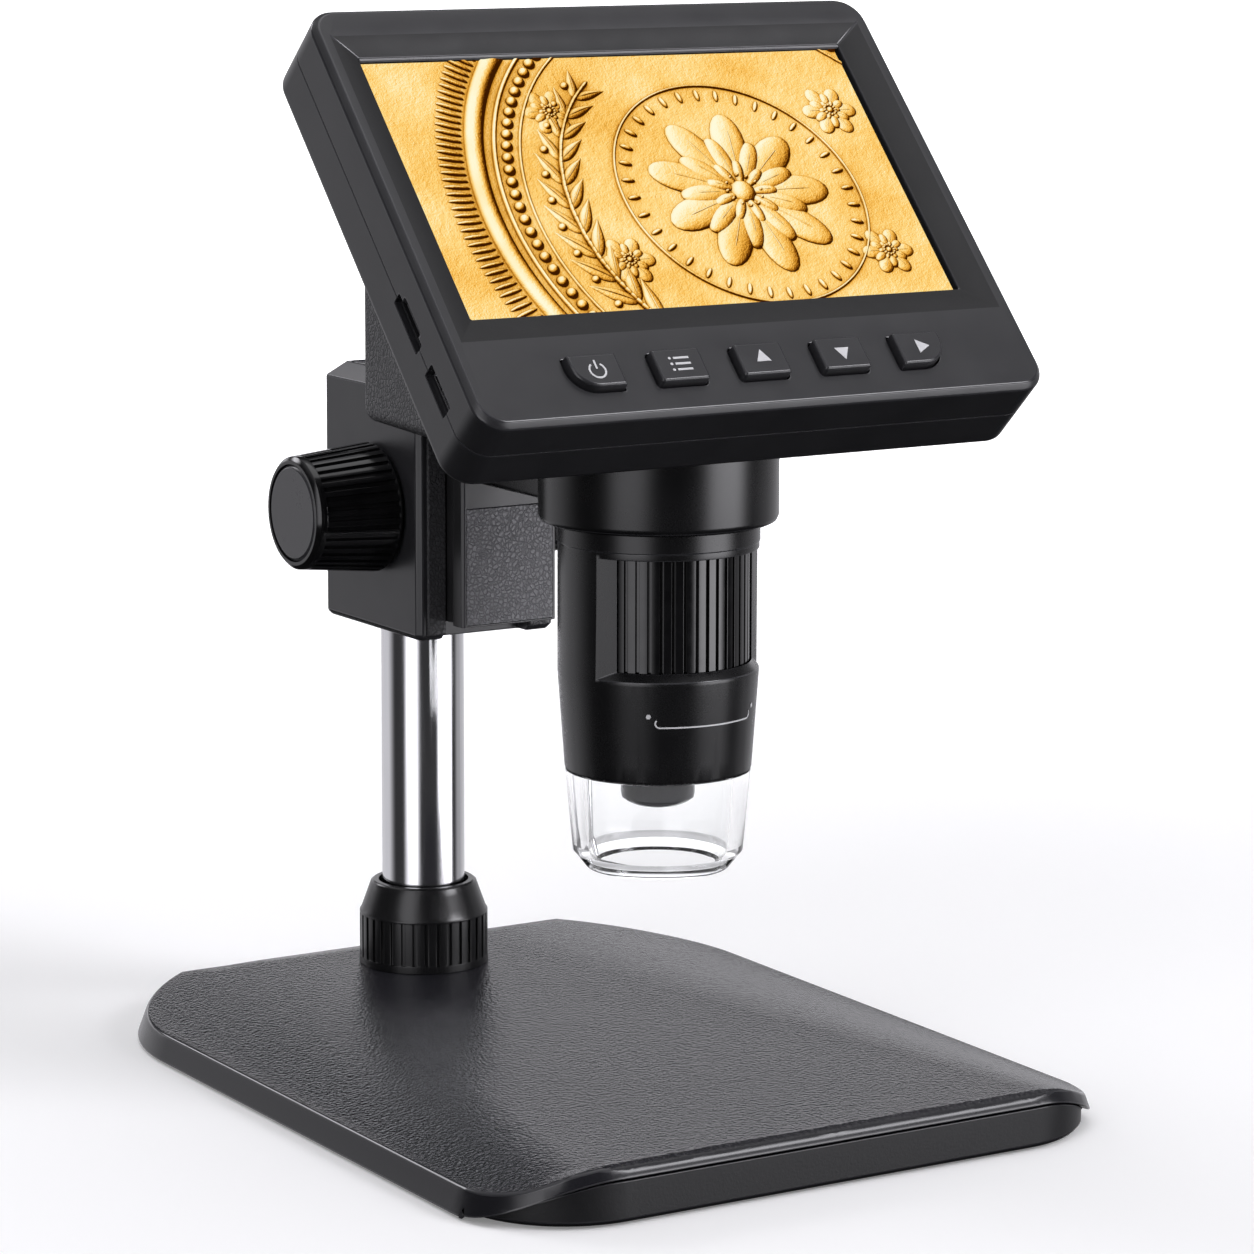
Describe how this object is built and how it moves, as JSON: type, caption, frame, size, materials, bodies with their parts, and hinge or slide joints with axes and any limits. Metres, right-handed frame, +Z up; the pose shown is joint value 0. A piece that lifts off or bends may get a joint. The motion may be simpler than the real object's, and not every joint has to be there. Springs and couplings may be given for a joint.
{
  "type": "digital microscope with display",
  "caption": "Bench microscope with a tilted colour display, a clear tapered shroud, a focus wheel and a rack and pinion stand on a flat base.",
  "frame": {"origin": "middle of the base, on the plane of the rubber feet's undersides", "axes": "+Z up, +X to the user's right, -Y towards the user"},
  "size_m": [0.1232, 0.1674, 0.189],
  "materials": {
    "base_moulding": "fine grained, satin",
    "tray_moulding": "satin",
    "ballast_steel": "raw plate",
    "foot_rubber": "matt",
    "screw_steel": "black zinc",
    "post_chrome": "polished",
    "nut_black": "black anodised, satin",
    "collet_nylon": "natural",
    "block_metal": "black painted, satin",
    "grained_facing": "leather grain",
    "bush_brass": "machined",
    "gear_steel": "machined",
    "knob_gloss": "gloss",
    "knob_disc": "turned",
    "slide_metal": "black anodised",
    "body_black": "black anodised, satin",
    "wheel_gloss": "gloss",
    "lens_glass": "coated",
    "led_board_green": "white solder mask",
    "led_yellow": "phosphor",
    "shroud_clear": "clear acrylic",
    "sensor_green": "solder mask",
    "head_satin": "satin",
    "screen_picture": "lit",
    "panel_metal": "can",
    "board_green": "solder mask",
    "switch_steel": "stamped",
    "port_steel": "plated",
    "socket_black": "moulded",
    "housing_grain": "coarse grain",
    "cell_wrap": "film",
    "key_black": "satin"
  },
  "bodies": {
    "stand": {"base_cover": "base_moulding", "base_tray": "tray_moulding", "ballast_plate": "ballast_steel", "rubber_feet": "foot_rubber", "base_screws": "screw_steel", "post": "post_chrome", "post_screw": "screw_steel", "post_collet": "collet_nylon", "focus_block": "block_metal", "block_cap": "block_metal", "cap_screws": "screw_steel", "cheek_plates": "grained_facing", "block_grub": "screw_steel", "shaft_bushes": "bush_brass"},
    "nut": {"clamp_nut": "nut_black"},
    "carriage": {"focus_slide": "slide_metal", "slide_face_plate": "grained_facing", "focus_rack": "gear_steel", "head_arm": "slide_metal", "arm_screws": "screw_steel", "body_collar": "body_black", "ring_screws": "screw_steel", "body_sleeve": "body_black", "led_board": "led_board_green", "led_lamps": "led_yellow", "clear_shroud": "shroud_clear", "sensor_board": "sensor_green", "front_bezel": "head_satin", "back_cover": "head_satin", "case_screws": "screw_steel", "screen_glass": "screen_picture", "lcd_panel": "panel_metal", "main_board": "board_green", "board_screws": "screw_steel", "key_board": "board_green", "key_switches": "switch_steel", "usb_port": "port_steel", "card_socket": "socket_black", "rear_housing": "housing_grain", "housing_screws": "screw_steel", "battery": "cell_wrap"},
    "focus_drive": {"pinion_shaft": "gear_steel", "knob_left": "knob_gloss", "knob_right": "knob_gloss", "knob_cap_left": "knob_disc", "knob_cap_right": "knob_disc"},
    "wheel": {"focus_wheel": "wheel_gloss"},
    "barrel": {"lens_barrel": "body_black", "objective_lens": "lens_glass"},
    "key_power": {"button_power": "key_black"},
    "key_menu": {"button_menu": "key_black"},
    "key_up": {"button_up": "key_black"},
    "key_down": {"button_down": "key_black"},
    "key_play": {"button_play": "key_black"}
  },
  "joints": [
    {"name": "nut_turn", "type": "hinge", "parent": "stand", "child": "nut", "pos_m": [0, 0.05459, 0], "axis": [0, 0, 1], "range_deg": [0, 150]},
    {"name": "carriage_slide", "type": "slide", "parent": "stand", "child": "carriage", "axis": [0, 0, 1], "range_m": [-0.006, 0.01]},
    {"name": "knob_turn", "type": "hinge", "parent": "stand", "child": "focus_drive", "pos_m": [0, 0.04601, 0.0967], "axis": [1, 0, 0], "range_deg": [-100, 62]},
    {"name": "wheel_turn", "type": "hinge", "parent": "carriage", "child": "wheel", "pos_m": [0, -0.02821, 0.09], "axis": [0, 0, 1], "range_deg": [-140, 215]},
    {"name": "barrel_slide", "type": "slide", "parent": "carriage", "child": "barrel", "axis": [0, 0, 1], "range_m": [-0.0025, 0.004]},
    {"name": "power_press", "type": "slide", "parent": "carriage", "child": "key_power", "axis": [0, 0.7314, -0.682], "range_m": [0, 0.0008], "stiffness_N_per_m": 600},
    {"name": "menu_press", "type": "slide", "parent": "carriage", "child": "key_menu", "axis": [0, 0.7314, -0.682], "range_m": [0, 0.0008], "stiffness_N_per_m": 600},
    {"name": "up_press", "type": "slide", "parent": "carriage", "child": "key_up", "axis": [0, 0.7314, -0.682], "range_m": [0, 0.0008], "stiffness_N_per_m": 600},
    {"name": "down_press", "type": "slide", "parent": "carriage", "child": "key_down", "axis": [0, 0.7314, -0.682], "range_m": [0, 0.0008], "stiffness_N_per_m": 600},
    {"name": "play_press", "type": "slide", "parent": "carriage", "child": "key_play", "axis": [0, 0.7314, -0.682], "range_m": [0, 0.0008], "stiffness_N_per_m": 600}
  ],
  "couplings": [
    {"joint": "knob_turn", "follows": "carriage_slide", "rad_per_m": -166.67},
    {"joint": "barrel_slide", "follows": "wheel_turn", "m_per_rad": 0.001}
  ]
}
